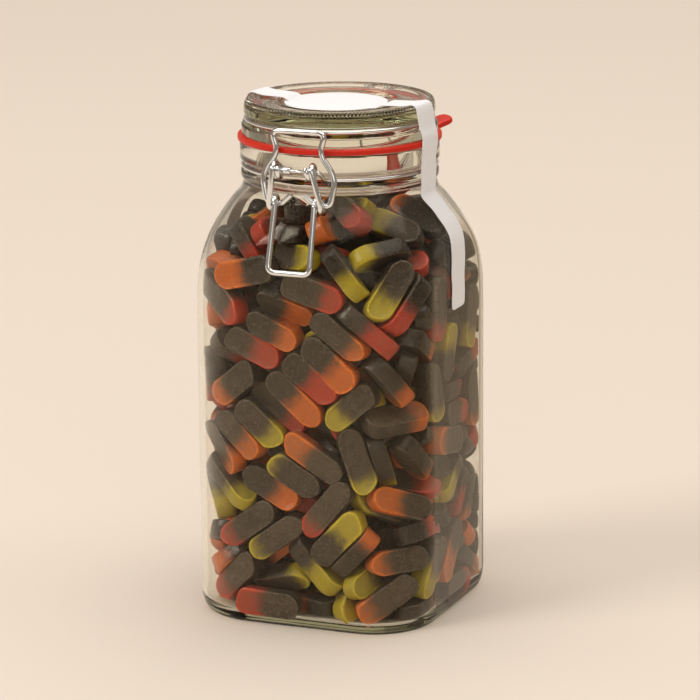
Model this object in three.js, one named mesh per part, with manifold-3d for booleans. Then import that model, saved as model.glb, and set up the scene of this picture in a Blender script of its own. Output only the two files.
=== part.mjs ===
// A square preserving jar of clear glass with a wire clip top, filled with soft liquorice candies.
// Millimetres, +Z up. The origin is the middle of the foot. The clip faces -Y, the lid's hinge +Y,
// and the arms of the paper seal run along X.
import * as THREE from "three";
import { mergeVertices } from "three/addons/utils/BufferGeometryUtils.js";
import Module from "manifold-3d";

const wasm = await Module();
wasm.setup();

// Driving sizes
const turnSteps = 40; // flats round every turned piece, the same for all so that they nest
const touchGap = 0.3; // left between pieces that touch
const bodyHalf = 65; // half the width of the square body
const bodyCorner = 35; // radius of its upright corners
const glass = 4; // wall of the body
const floorHeight = 6; // inside floor above the foot
const domeBase = 155; // where the shoulder's dome starts to draw in
const domeRadius = 79; // radius of the dome there
const domeFall = 0.0067; // how fast its radius falls, per mm squared
const insideHeights = [18, domeBase - 2, 165, 176, 186, 195]; // levels that heap and glass share
const shoulderBlend = 5; // softness of the fold between flat side and dome
const rimHeight = 244.5; // top of the jar's mouth
const collarRadius = 51.2; // thick band round the mouth
const boreRadius = 43.5; // inside the mouth
const grooveRadius = 48.4; // groove that the neck wire lies in
const grooveHeight = 231.9;
const gasketRadius = 52.3;
const gasketThick = 2.6;
const gasketHole = 42.3;
const plugRadius = 41.4; // the lid's collar inside the gasket
const flangeRadius = 50.3; // the lid's bottom edge
const lidTop = 265.6;
const lidHollow = 262.5; // sunk middle of the lid's top
const ringWire = 1.0; // radius of the wire of the two rings
const clipWire = 1.5; // radius of the wire of bail and lever
const pivotY = -55.5; // bar that the lever turns on
const pivotZ = 237;
const hubY = -57.5; // the lever's lower coil, which holds the bail
const hubZ = 220.8;
const hingeY = 58; // bar that the lid turns on
const hingeZ = 249;
const candyGap = 0.9; // between the heap and the glass
const heapTop = 232; // top of the heap, in the neck
const heapSkirt = 204; // where its edge meets the glass
const paper = 0.5; // thickness of the seal
const sealWidth = 17;
const labelRadius = 26.5;
const labelMiddle = -2; // it lies a little to the left
const sealMiddle = -1.1;
const sealTurn = -0.093; // slope of the band across the lid, which lies a little askew
const clipMiddle = -1.6; // the clip's bar is a little off the jar's middle
const sealEnd = 161; // where the seal's arms end on the sides

// Shapes of the body ---------------------------------------------------------------------------

// Distance from the axis to the side of a square with round corners.
function squareRadius(angle, half, corner) {
  const wide = Math.max(Math.abs(Math.cos(angle)), Math.abs(Math.sin(angle)));
  const narrow = Math.min(Math.abs(Math.cos(angle)), Math.abs(Math.sin(angle)));
  const flat = half / wide;
  const centre = half - corner;
  if (flat * narrow <= centre) return flat;
  const along = centre * (wide + narrow);
  return along + Math.sqrt(along * along - 2 * centre * centre + corner * corner);
}

function domeAt(z) {
  return domeRadius - domeFall * Math.max(z - domeBase, 0) ** 2;
}

function softMin(a, b, blend) {
  const near = Math.max(blend - Math.abs(a - b), 0) / blend;
  return Math.min(a, b) - (near * near * blend) / 4;
}

// Radius of body and shoulder, set in from the outer face by inset.
function bodyRadius(angle, z, inset) {
  const square = squareRadius(angle, bodyHalf - inset, bodyCorner - inset);
  return softMin(square, domeAt(z) - inset, shoulderBlend);
}

// One ring of points round the axis; radius and height are numbers or functions of the angle.
function ring(radius, height) {
  const points = [];
  for (let i = 0; i < turnSteps; i += 1) {
    const angle = (i / turnSteps) * 2 * Math.PI;
    const r = typeof radius === "function" ? radius(angle) : radius;
    const z = typeof height === "function" ? height(angle) : height;
    points.push(new THREE.Vector3(r * Math.cos(angle), r * Math.sin(angle), z));
  }
  return points;
}

// A closed skin through rings, from a point on the axis below the first to one above the last.
function loft(rings, startZ, endZ) {
  const points = [new THREE.Vector3(0, 0, startZ), ...rings.flat(), new THREE.Vector3(0, 0, endZ)];
  const at = (row, i) => 1 + row * turnSteps + (i % turnSteps);
  const last = points.length - 1;
  const triangles = [];
  for (let i = 0; i < turnSteps; i += 1) {
    triangles.push(0, at(0, i + 1), at(0, i));
    triangles.push(at(rings.length - 1, i), at(rings.length - 1, i + 1), last);
    for (let row = 0; row + 1 < rings.length; row += 1) {
      triangles.push(at(row, i), at(row, i + 1), at(row + 1, i + 1));
      triangles.push(at(row, i), at(row + 1, i + 1), at(row + 1, i));
    }
  }
  const geometry = new THREE.BufferGeometry().setFromPoints(points);
  geometry.setIndex(triangles);
  return geometry;
}

const squareRing = (inset, z) =>
  ring((angle) => squareRadius(angle, bodyHalf - inset, bodyCorner - inset), z);
const turnedRings = (profile) => profile.map(([r, z]) => ring(r, z));

function jarGeometry() {
  const heel = [[5.5, 0], [3.1, 1.4], [1.2, 4.8], [0, 12]]; // inset and height
  const shoulder = [domeBase - 2, 166, 176, 185, 193, 200, 207, 214, 220];
  const neck = [
    [49, 224.8], [50.8, 226.6], [50.8, 229], [grooveRadius, 230.2], [grooveRadius, 233.6],
    [collarRadius, 235], [collarRadius, rimHeight - 1], [50.2, rimHeight],
    [boreRadius, rimHeight], [boreRadius, 229],
  ];
  const inside = [...insideHeights, 203, 211, 219].reverse();
  const floor = [[1, 11.5], [3.6, 7.6], [8, floorHeight]];
  return loft(
    [
      ...heel.map(([inset, z]) => squareRing(inset, z)),
      ...shoulder.map((z) => ring((angle) => bodyRadius(angle, z, 0), z)),
      ...turnedRings(neck),
      ...inside.map((z) => ring((angle) => bodyRadius(angle, z, glass), z)),
      ...floor.map(([inset, z]) => squareRing(glass + inset, z)),
    ],
    0,
    floorHeight,
  );
}

// The heap follows the inside of the glass and rises unevenly into the neck.
function heapGeometry() {
  const inset = glass + candyGap;
  const lump = (angle, r) =>
    1.5 * Math.sin(3 * angle + 0.6 + r / 17) + 1.2 * Math.sin(5 * angle - r / 11) * Math.cos(r / 9);
  const skirt = (angle) => heapSkirt + lump(angle, bodyHalf);
  const crown = (angle, r) =>
    heapTop - 1.5 - 0.0068 * r * r + lump(angle, r) * Math.min(r / 50, 1);
  const skirtRadius = (angle) => bodyRadius(angle, skirt(angle), inset);
  const crownRing = (share) =>
    ring(
      (angle) => share * skirtRadius(angle),
      (angle) => crown(angle, share * skirtRadius(angle)),
    );
  const base = [[9, 0], [4.2, 1.4], [1.2, 5.4]];
  return loft(
    [
      ...base.map(([more, up]) => squareRing(inset + more, floorHeight + candyGap + up)),
      ...insideHeights.map((z) => ring((angle) => bodyRadius(angle, z, inset), z)),
      ring(skirtRadius, skirt),
      ...[0.86, 0.7, 0.52, 0.3].map(crownRing),
    ],
    floorHeight + candyGap,
    heapTop - 1,
  );
}

// Turned pieces --------------------------------------------------------------------------------

function lidGeometry() {
  const under = rimHeight + gasketThick + 2 * touchGap; // the flange rests on the gasket
  return loft(
    turnedRings([
      [35, 257.2], [37.7, 254.5], [38.8, 245.6], [plugRadius - 0.9, 245.2],
      [plugRadius, 246.2], [plugRadius, under], [flangeRadius - 0.6, under],
      [flangeRadius, under + 0.8], [flangeRadius, 252.4], [flangeRadius - 1, 253.6],
      [46.6, 254.4], [46.6, 257.2], [48.9, 258.6], [48.9, 262.8],
      [47.9, lidTop - 0.3], [46.4, lidTop], [44, lidTop - 0.6], [40, 264], [32, 263.8],
      [29.5, lidHollow],
    ]),
    257.4,
    lidHollow,
  );
}

// Manifold solids, for joining and cutting ------------------------------------------------------

function toSolid(geometry) {
  const bare = geometry.index ? geometry.toNonIndexed() : geometry.clone();
  bare.deleteAttribute("normal");
  bare.deleteAttribute("uv");
  const merged = mergeVertices(bare, 1e-4);
  const vertProperties = new Float32Array(merged.attributes.position.array);
  const triVerts = new Uint32Array(merged.index.array);
  return new wasm.Manifold(new wasm.Mesh({ numProp: 3, vertProperties, triVerts }));
}

function toGeometry(solid) {
  const mesh = solid.getMesh();
  const geometry = new THREE.BufferGeometry();
  geometry.setAttribute("position", new THREE.BufferAttribute(mesh.vertProperties, 3));
  geometry.setIndex(new THREE.BufferAttribute(mesh.triVerts, 1));
  return geometry;
}

const joined = (geometries) =>
  toGeometry(geometries.map(toSolid).reduce((whole, next) => whole.add(next)));

// Bent wire ------------------------------------------------------------------------------------

// A path that is straight between its points, so that a sweep has one step for each of them.
class WirePath extends THREE.Curve {
  constructor(points) {
    super();
    this.points = points;
  }

  getPoint(t, target = new THREE.Vector3()) {
    const place = t * (this.points.length - 1);
    const i = Math.min(Math.floor(place + 1e-6), this.points.length - 2);
    return target.lerpVectors(this.points[i], this.points[i + 1], place - i);
  }

  getPointAt(t, target) {
    return this.getPoint(t, target);
  }

  getTangentAt(t, target = new THREE.Vector3()) {
    const i = Math.round(t * (this.points.length - 1));
    const before = this.points[Math.max(i - 1, 0)];
    const after = this.points[Math.min(i + 1, this.points.length - 1)];
    return target.subVectors(after, before).normalize();
  }
}

function wire(points, radius, sides = 6) {
  const outline = [];
  for (let i = 0; i < sides; i += 1) {
    const angle = ((i + 0.5) / sides) * 2 * Math.PI;
    outline.push(new THREE.Vector2(radius * Math.cos(angle), radius * Math.sin(angle)));
  }
  return new THREE.ExtrudeGeometry(new THREE.Shape(outline), {
    steps: points.length - 1,
    extrudePath: new WirePath(points),
  });
}

// Corners given as [x, y, z, bend radius]; each bend becomes a short curve.
function bent(corners, bendSteps = 3) {
  const at = corners.map(([x, y, z]) => new THREE.Vector3(x, y, z));
  const points = [at[0]];
  for (let i = 1; i + 1 < at.length; i += 1) {
    const back = at[i - 1].clone().sub(at[i]);
    const on = at[i + 1].clone().sub(at[i]);
    const half = back.angleTo(on) / 2;
    const reach = Math.min(corners[i][3] / Math.tan(half), 0.48 * back.length(), 0.48 * on.length());
    const from = at[i].clone().addScaledVector(back.normalize(), reach);
    const to = at[i].clone().addScaledVector(on.normalize(), reach);
    points.push(...new THREE.QuadraticBezierCurve3(from, at[i], to).getPoints(bendSteps));
  }
  points.push(at[at.length - 1]);
  return points;
}

// Wire wound round a bar along X: 0 degrees is in front of it, 90 above, 180 behind.
function coil(barY, barZ, radius, fromX, toX, fromDegrees, toDegrees) {
  const steps = Math.round(Math.abs(toDegrees - fromDegrees) / 36);
  const points = [];
  for (let i = 0; i <= steps; i += 1) {
    const share = i / steps;
    const angle = THREE.MathUtils.degToRad(fromDegrees + share * (toDegrees - fromDegrees));
    const x = fromX + share * (toX - fromX);
    const y = barY - radius * Math.cos(angle);
    points.push(new THREE.Vector3(x, y, barZ + radius * Math.sin(angle)));
  }
  return points;
}

const mirrored = (points) => points.map((p) => new THREE.Vector3(-p.x, p.y, p.z)).reverse();

// Moves points along X, and above z also leans them over by slope.
const leaned = (points, x, z, slope) =>
  points.map((p) => p.clone().setX(p.x + x - slope * Math.max(p.z - z, 0)));

function arcRing(radius, z, fromAngle, toAngle, steps) {
  const points = [];
  for (let i = 0; i <= steps; i += 1) {
    const angle = fromAngle + (i / steps) * (toAngle - fromAngle);
    points.push(new THREE.Vector3(radius * Math.cos(angle), radius * Math.sin(angle), z));
  }
  return points;
}

// The neck wire leaves its groove in front to make the lever's bar, its ends held in a sleeve,
// and carries the hinge bar on a loop behind.
function neckRingGeometry() {
  const ringRadius = grooveRadius + touchGap + ringWire;
  const barHalf = 13.3;
  const leave = 16.2; // where it leaves the groove, from the bar's middle
  const sleeveMiddle = -5.75;
  const sleeve = new THREE.CylinderGeometry(2, 2, 4.3, 10).rotateZ(Math.PI / 2);
  sleeve.translate(sleeveMiddle, pivotY, pivotZ);
  const kink = (side, endX) => {
    const x = clipMiddle + side * leave;
    return bent([
      [endX, pivotY, pivotZ],
      [clipMiddle + side * barHalf, pivotY, pivotZ, 1.2],
      [clipMiddle + side * (barHalf + 0.9), -51.4, 232.9, 2],
      [x, -Math.sqrt(ringRadius ** 2 - x ** 2), grooveHeight],
    ]);
  };
  const startAngle = -Math.acos((clipMiddle + leave) / ringRadius);
  const endAngle = Math.PI + Math.acos((leave - clipMiddle) / ringRadius);
  const round = arcRing(ringRadius, grooveHeight, startAngle, endAngle, 30);
  const path = [
    ...kink(1, sleeveMiddle + 0.4).slice(0, -1),
    ...round,
    ...kink(-1, sleeveMiddle - 0.4).reverse().slice(1),
  ];
  const loopHalf = 10;
  const root = Math.sqrt(ringRadius ** 2 - loopHalf ** 2);
  const side = [
    [loopHalf, root, grooveHeight],
    [loopHalf, 54, grooveHeight + 0.4, 2.5],
    [loopHalf, hingeY - 0.4, 237, 3],
    [loopHalf, hingeY, hingeZ, 2.2],
  ];
  const other = side.map(([x, ...rest]) => [-x, ...rest]).reverse();
  return joined([wire(path, ringWire), sleeve, wire(bent([...side, ...other]), ringWire)]);
}

// The lid wire lies in the lid's groove; two curls behind hold the hinge bar.
function lidRingGeometry() {
  const ringRadius = 46.6 + touchGap + ringWire;
  const z = 255.8;
  const curlRadius = 2.5;
  const hoop = new THREE.TorusGeometry(ringRadius, ringWire, 5, turnSteps).translate(0, 0, z);
  const curl = (x) => {
    const lead = bent([
      [x, Math.sqrt(ringRadius ** 2 - x * x), z],
      [x, 53.4, z, 3],
      [x, 55.6, hingeZ + curlRadius + 0.3, 1],
      [x, hingeY, hingeZ + curlRadius],
    ]).slice(0, -1);
    return wire([...lead, ...coil(hingeY, hingeZ, curlRadius, x, x, 90, 378)], ringWire);
  };
  return joined([hoop, curl(-5.5), curl(5.5)]);
}

// The bail: a straight bar over the lid's edge, sides drawn in at the gasket and bellied out below,
// and ends that pass through the lever's lower coils and turn up towards each other.
function bailGeometry() {
  const half = bent([
    [0, -52, 256.4],
    [15, -52, 256.4, 4.6],
    [11.2, -53.1, 246.6, 6],
    [19.2, -55, 235, 9],
    [17.2, hubY, hubZ, 2.6],
    [8.9, hubY, hubZ, 1.6],
    [3.5, hubY - 0.3, 225.4],
  ]).slice(1);
  return wire(leaned([...mirrored(half), ...half], 1.3, hubZ, 0.06), clipWire);
}

// The lever: a long rectangular handle whose sides wind once round the bail's ends, climb to the
// neck wire's bar and wind once round that.
function leverGeometry() {
  const hubRadius = 3.35;
  const eyeRadius = 3.4;
  const handle = bent([
    [0, -70, 187.8],
    [11.3, -70, 187.8, 4],
    [10.6, hubY - hubRadius, hubZ, 4],
    [10.6, hubY - hubRadius, hubZ + 1],
  ]).slice(1, 5);
  const half = [
    ...handle,
    ...coil(hubY, hubZ, hubRadius, 10.6, 13.9, 0, 360),
    ...coil(pivotY, pivotZ, eyeRadius, 10.8, 7.5, 0, 396),
  ];
  return wire(leaned([...mirrored(half), ...half], 0.5, hubZ, 0.125), clipWire);
}

// Rubber gasket with its pull tab ----------------------------------------------------------------

function gasketGeometry() {
  const low = rimHeight + touchGap;
  const hoop = new THREE.LatheGeometry(
    [
      new THREE.Vector2(gasketHole, low),
      new THREE.Vector2(gasketRadius, low),
      new THREE.Vector2(gasketRadius, low + gasketThick),
      new THREE.Vector2(gasketHole, low + gasketThick),
      new THREE.Vector2(gasketHole, low),
    ],
    turnSteps,
  ).rotateX(Math.PI / 2);
  const tabHalf = 5.5;
  const tabReach = 7.5;
  const tab = new THREE.Shape();
  tab.moveTo(0, -8);
  tab.bezierCurveTo(3, -6, 6, -tabHalf, tabReach, -tabHalf);
  tab.absarc(tabReach, 0, tabHalf, -Math.PI / 2, Math.PI / 2, false);
  tab.bezierCurveTo(6, tabHalf, 3, 6, 0, 8);
  tab.closePath();
  const plate = new THREE.ExtrudeGeometry(tab, {
    depth: gasketThick,
    bevelEnabled: false,
    curveSegments: 6,
  });
  plate.rotateY(THREE.MathUtils.degToRad(-19));
  plate.translate(gasketRadius - 1.4, 0, low);
  plate.rotateZ(THREE.MathUtils.degToRad(47));
  return joined([hoop, plate]);
}

// Paper seal -------------------------------------------------------------------------------------

// A strip of paper across Y that follows a path in X and Z; its free end can be rounded. middle
// gives the Y of its centre line, and fall how far its X drops back round the glass at a given Y.
function strip(path, side, roundEnd, middle, fall) {
  const across = [-1, -0.6, 0, 0.6, 1];
  const points = [];
  const directions = path.map((_, i) => {
    const [x0, z0] = path[Math.max(i - 1, 0)];
    const [x1, z1] = path[Math.min(i + 1, path.length - 1)];
    return new THREE.Vector2(x1 - x0, z1 - z0).normalize();
  });
  path.forEach(([x, z], i) => {
    const isEnd = roundEnd && i === path.length - 1;
    for (const layer of [0, paper]) {
      for (const share of across) {
        const drawnIn = isEnd ? 6 * (1 - Math.sqrt(1 - 0.96 * share * share)) : 0;
        const y = middle(x, z) + share * (sealWidth / 2);
        const outX = x - fall(x, z, y) - directions[i].y * layer - directions[i].x * drawnIn;
        const outZ = z + directions[i].x * layer - directions[i].y * drawnIn;
        points.push(new THREE.Vector3(side * outX, side * y, outZ));
      }
    }
  });
  const wide = across.length;
  const at = (row, layer, i) => (row * 2 + layer) * wide + i;
  const triangles = [];
  const quad = (a, b, c, d) => triangles.push(a, c, b, a, d, c);
  const last = path.length - 1;
  for (let i = 0; i + 1 < wide; i += 1) {
    quad(at(0, 0, i), at(0, 0, i + 1), at(0, 1, i + 1), at(0, 1, i));
    quad(at(last, 0, i), at(last, 1, i), at(last, 1, i + 1), at(last, 0, i + 1));
    for (let row = 0; row < last; row += 1) {
      quad(at(row, 0, i), at(row + 1, 0, i), at(row + 1, 0, i + 1), at(row, 0, i + 1));
      quad(at(row, 1, i), at(row, 1, i + 1), at(row + 1, 1, i + 1), at(row + 1, 1, i));
    }
  }
  for (let row = 0; row < last; row += 1) {
    quad(at(row, 0, 0), at(row, 1, 0), at(row + 1, 1, 0), at(row + 1, 0, 0));
    quad(at(row, 0, wide - 1), at(row + 1, 0, wide - 1), at(row + 1, 1, wide - 1), at(row, 1, wide - 1));
  }
  const geometry = new THREE.BufferGeometry().setFromPoints(points);
  geometry.setIndex(triangles);
  return geometry;
}

const roundFall = (radius, y) => radius - Math.sqrt(radius * radius - y * y);

// The label lies in the lid's middle; an arm on each side climbs over the rim and down to the gasket.
function lidSealGeometry() {
  const z = lidHollow + touchGap;
  const label = new THREE.CylinderGeometry(labelRadius, labelRadius, paper, 32).rotateX(Math.PI / 2);
  label.translate(labelMiddle, 0, z + paper / 2);
  const arm = [
    [22, z], [24.8, z], [28.2, 264.5], [40, 264.9], [44, 265.6], [46.6, lidTop + 0.4],
    [48.6, lidTop - 0.1], [49.8, 262.8], [50.3, 260], [51.1, 254.2], [52.5, 250.6], [52.6, 248.9],
  ];
  const middle = (side) => (x) => sealMiddle * side + sealTurn * x;
  const fall = (x, _, y) => THREE.MathUtils.clamp((x - 40) / 6.6, 0, 1) * roundFall(x, y);
  return joined([
    label,
    strip(arm, 1, false, middle(1), fall),
    strip(arm, -1, false, middle(-1), fall),
  ]);
}

// Below the lid each arm hangs past gasket and collar, lies along the shoulder and folds on the
// side; the right one swings back towards the middle as it comes down.
function sideSealGeometry(side) {
  const out = touchGap + 0.15;
  const path = [[gasketRadius + out, 248.4], [gasketRadius + out, 244.4], [collarRadius + out, 240]];
  path.push([collarRadius + out, 229], [collarRadius + out, 224.5]);
  for (const z of [221, 214, 206, 198, 193]) path.push([bodyRadius(0, z, 0) + out + 0.3, z]);
  path.push([bodyHalf + out, sealEnd]);
  const top = sealMiddle * side + sealTurn * gasketRadius;
  const foot = side > 0 ? -2.9 : top;
  const middle = (_, z) => THREE.MathUtils.lerp(foot, top, THREE.MathUtils.smoothstep(z, 193, 229));
  const fall = (x, z, y) => {
    if (z > 224) return roundFall(x, y);
    const front = bodyRadius(0, z, 0);
    const there = bodyRadius(Math.atan2(y, front), z, 0);
    return front - Math.sqrt(there * there - y * y);
  };
  return strip(path, side, true, middle, fall);
}

// The object -------------------------------------------------------------------------------------

const materials = {
  glass: { color: "#dfe6dc", roughness: 0.04, metalness: 0, transparent: true, opacity: 0.35 },
  rubber: { color: "#cf2413", roughness: 0.5, metalness: 0 },
  steel: { color: "#c9cdcd", roughness: 0.25, metalness: 1 },
  paper: { color: "#efe9e9", roughness: 0.8, metalness: 0 },
  candy: { color: "#3a2c28", roughness: 0.55, metalness: 0 },
};

const jarOfCandies = new THREE.Group();

function add(name, geometry, finish) {
  const mesh = new THREE.Mesh(geometry, new THREE.MeshStandardMaterial(materials[finish]));
  mesh.name = name;
  jarOfCandies.add(mesh);
}

add("jar", jarGeometry(), "glass");
add("candies", heapGeometry(), "candy");
add("gasket", gasketGeometry(), "rubber");
add("lid", lidGeometry(), "glass");
add("neck_ring", neckRingGeometry(), "steel");
add("lid_ring", lidRingGeometry(), "steel");
add("bail", bailGeometry(), "steel");
add("lever", leverGeometry(), "steel");
add("seal_lid", lidSealGeometry(), "paper");
add("seal_right", sideSealGeometry(1), "paper");
add("seal_left", sideSealGeometry(-1), "paper");

export default jarOfCandies;
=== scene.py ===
import math

import bpy
import numpy as np
from mathutils import Euler, Matrix, Quaternion, Vector


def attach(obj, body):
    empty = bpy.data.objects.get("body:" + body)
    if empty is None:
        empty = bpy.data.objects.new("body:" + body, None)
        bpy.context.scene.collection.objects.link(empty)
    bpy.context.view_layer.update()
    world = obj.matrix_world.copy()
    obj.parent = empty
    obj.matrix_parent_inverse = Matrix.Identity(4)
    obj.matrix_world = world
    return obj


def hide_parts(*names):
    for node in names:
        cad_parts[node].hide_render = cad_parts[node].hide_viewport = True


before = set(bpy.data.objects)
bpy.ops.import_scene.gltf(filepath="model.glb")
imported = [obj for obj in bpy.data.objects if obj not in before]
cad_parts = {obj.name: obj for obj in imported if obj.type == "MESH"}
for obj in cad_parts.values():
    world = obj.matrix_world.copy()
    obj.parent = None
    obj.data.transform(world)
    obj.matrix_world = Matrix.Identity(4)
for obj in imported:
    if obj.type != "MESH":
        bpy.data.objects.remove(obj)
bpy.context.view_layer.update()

# Studio ---------------------------------------------------------------------------------------
# A pale warm floor without an edge in view, with a painted shade behind to the right that only
# shows in what mirrors it, a dim room, soft boxes overhead and at the front, a lit wall behind, and
# a long lens above the shoulder.

scene = bpy.context.scene
scene.view_settings.view_transform = "Standard"
camera_data = bpy.data.cameras.new("camera")
camera_data.lens = 192.8
camera_data.sensor_width = 36
camera_data.clip_end = 50
camera = bpy.data.objects.new("camera", camera_data)
scene.collection.objects.link(camera)
camera_azimuth = math.radians(22.45)
camera_distance = 1.888
camera_roll = math.radians(-0.49)
camera.location = (
    camera_distance * math.sin(camera_azimuth),
    -camera_distance * math.cos(camera_azimuth),
    0.5974,
)
looked_at = Vector((0.004, 0.0016, 0.1325))
facing = (looked_at - camera.location).to_track_quat("-Z", "Y")
camera.rotation_mode = "QUATERNION"
camera.rotation_quaternion = facing @ Quaternion((0, 0, 1), camera_roll)
scene.camera = camera

world = bpy.data.worlds.new("room")
world.use_nodes = True
world.node_tree.nodes["Background"].inputs["Color"].default_value = (0.86, 0.75, 0.63, 1)
world.node_tree.nodes["Background"].inputs["Strength"].default_value = 0.30
scene.world = world


def soft_box(name, place, aim, wide, high, watts, colour):
    light = bpy.data.lights.new(name, "AREA")
    light.shape = "RECTANGLE"
    light.size, light.size_y = wide, high
    light.energy = watts
    light.color = colour
    lamp = bpy.data.objects.new(name, light)
    scene.collection.objects.link(lamp)
    lamp.location = place
    lamp.rotation_mode = "QUATERNION"
    lamp.rotation_quaternion = (Vector(aim) - Vector(place)).to_track_quat("-Z", "Y")
    return lamp


soft_box("key", (-2.6, -2.8, 3.0), (0, 0, 0.12), 1.8, 1.8, 76, (1.0, 0.98, 0.95))
soft_box("overhead", (0.3, 0.6, 5.0), (0, 0.2, 0), 7.0, 6.0, 250, (1.0, 0.97, 0.93))
soft_box("wall", (0.5, 6.5, 2.4), (0, 0, 0.4), 13, 4.4, 40, (1.0, 0.88, 0.72))
soft_box("front", (1.6, -3.0, 1.8), (0, 0, 0.15), 2.4, 1.3, 11, (1.0, 0.98, 0.96))

floor_mesh = bpy.data.meshes.new("floor")
floor_reach = 9
floor_mesh.from_pydata(
    [(-floor_reach, -floor_reach, 0), (floor_reach, -floor_reach, 0),
     (floor_reach, floor_reach, 0), (-floor_reach, floor_reach, 0)],
    [], [(0, 1, 2, 3)],
)
floor = bpy.data.objects.new("floor", floor_mesh)
scene.collection.objects.link(floor)
floor_paint = bpy.data.materials.new("floor")
floor_paint.use_nodes = True
floor_shader = floor_paint.node_tree.nodes["Principled BSDF"]
floor_shader.inputs["Roughness"].default_value = 0.75
floor_shader.inputs["Specular IOR Level"].default_value = 0.25
floor_links = floor_paint.node_tree.links
# Painted shade: behind to the right the floor's colour is mixed to dark brown, but only for rays
# that have come off a mirror-like surface, so reflections of it are darker.
floor_path = floor_paint.node_tree.nodes.new("ShaderNodeLightPath")
mirrored_light = floor_paint.node_tree.nodes.new("ShaderNodeMath")
mirrored_light.operation = "MINIMUM"
mirrored_light.inputs[1].default_value = 1
floor_tone = floor_paint.node_tree.nodes.new("ShaderNodeMix")
floor_tone.data_type = "RGBA"
floor_tone.inputs[6].default_value = (0.80, 0.71, 0.615, 1)
floor_tone.inputs[7].default_value = (0.30, 0.24, 0.17, 1)
floor_place = floor_paint.node_tree.nodes.new("ShaderNodeSeparateXYZ")
floor_object = floor_paint.node_tree.nodes.new("ShaderNodeTexCoord")
floor_links.new(floor_object.outputs["Object"], floor_place.inputs[0])
floor_links.new(floor_path.outputs["Glossy Depth"], mirrored_light.inputs[0])
dim_share = mirrored_light.outputs[0]
for axis, start, end in (("X", -0.1, 0.25), ("Y", -0.2, 0.1)):
    reach = floor_paint.node_tree.nodes.new("ShaderNodeMapRange")
    reach.interpolation_type = "SMOOTHSTEP"
    reach.inputs["From Min"].default_value = start
    reach.inputs["From Max"].default_value = end
    product = floor_paint.node_tree.nodes.new("ShaderNodeMath")
    product.operation = "MULTIPLY"
    floor_links.new(floor_place.outputs[axis], reach.inputs["Value"])
    floor_links.new(reach.outputs["Result"], product.inputs[0])
    floor_links.new(dim_share, product.inputs[1])
    dim_share = product.outputs[0]
floor_links.new(dim_share, floor_tone.inputs[0])
floor_links.new(floor_tone.outputs[2], floor_shader.inputs["Base Color"])
floor_mesh.materials.append(floor_paint)

# Jar ------------------------------------------------------------------------------------------
# Pressed clear glass: a square body with rounded corners, a domed shoulder, a bead and a thick
# collar with the neck wire's groove between them, and a foot with a small round heel.

body_half, body_corner, wall, floor_height = 65.0, 35.0, 3.0, 4.4
rim_height, collar_radius, bore_radius, groove_radius = 244.5, 51.2, 43.5, 48.4


def square_radius(angle, half, corner):
    wide = np.maximum(abs(np.cos(angle)), abs(np.sin(angle)))
    narrow = np.minimum(abs(np.cos(angle)), abs(np.sin(angle)))
    centre = half - corner
    along = centre * (wide + narrow)
    round_part = along + np.sqrt(np.maximum(along**2 - 2 * centre**2 + corner**2, 0))
    return np.where(half / wide * narrow <= centre, half / wide, round_part)


def body_radius(angle, z, inset=0.0):
    square = square_radius(angle, body_half - inset, body_corner - inset)
    dome = 79 - 0.0067 * np.maximum(z - 155, 0) ** 2 - inset
    blend = 5
    near = np.maximum(blend - abs(square - dome), 0) / blend
    return np.minimum(square, dome) - near**2 * blend / 4


def turned(radii, heights, steps):
    """Rings round the axis; each radius is a number or an array over the angles."""
    angle = np.arange(steps) / steps * 2 * np.pi
    rows = []
    for radius, height in zip(radii, heights):
        radius = np.broadcast_to(radius, steps)
        height = np.broadcast_to(height, steps)
        rows.append(np.stack([radius * np.cos(angle), radius * np.sin(angle), height], -1))
    return np.array(rows)


def skin(rings, start=None, end=None):
    """Faces through rows of rings, closed by a point at each end if one is given."""
    rows, steps, _ = rings.shape
    points = rings.reshape(-1, 3).tolist()
    faces = []
    for row in range(rows - 1):
        for i in range(steps):
            a, b = row * steps + i, row * steps + (i + 1) % steps
            faces.append((a, b, b + steps, a + steps))
    if start is not None:
        points.append(start)
        faces += [(len(points) - 1, (i + 1) % steps, i) for i in range(steps)]
    if end is not None:
        last = (rows - 1) * steps
        points.append(end)
        faces += [(len(points) - 1, last + i, last + (i + 1) % steps) for i in range(steps)]
    return np.array(points), faces


def solid(name, points, faces, material, sharp=None):
    """A mesh piece given in millimetres, smooth but for edges sharper than the angle."""
    mesh = bpy.data.meshes.new(name)
    mesh.from_pydata((np.asarray(points) * 0.001).tolist(), [], faces)
    mesh.materials.append(material)
    mesh.shade_smooth()
    if sharp:
        mesh.set_sharp_from_angle(angle=math.radians(sharp))
    piece = bpy.data.objects.new(name, mesh)
    scene.collection.objects.link(piece)
    return piece


def rounded(profile, reach):
    """A profile of (radius, height) whose corners are cut back by reach and curved."""
    profile = [np.array(p, float) for p in profile]
    out = [profile[0]]
    for before, at, after in zip(profile, profile[1:], profile[2:]):
        back, on = before - at, after - at
        cut = min(reach, 0.45 * np.linalg.norm(back), 0.45 * np.linalg.norm(on))
        start, stop = at + back / np.linalg.norm(back) * cut, at + on / np.linalg.norm(on) * cut
        for t in (0, 0.33, 0.67, 1):
            out.append((1 - t) ** 2 * start + 2 * t * (1 - t) * at + t**2 * stop)
    out.append(profile[-1])
    return out


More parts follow.
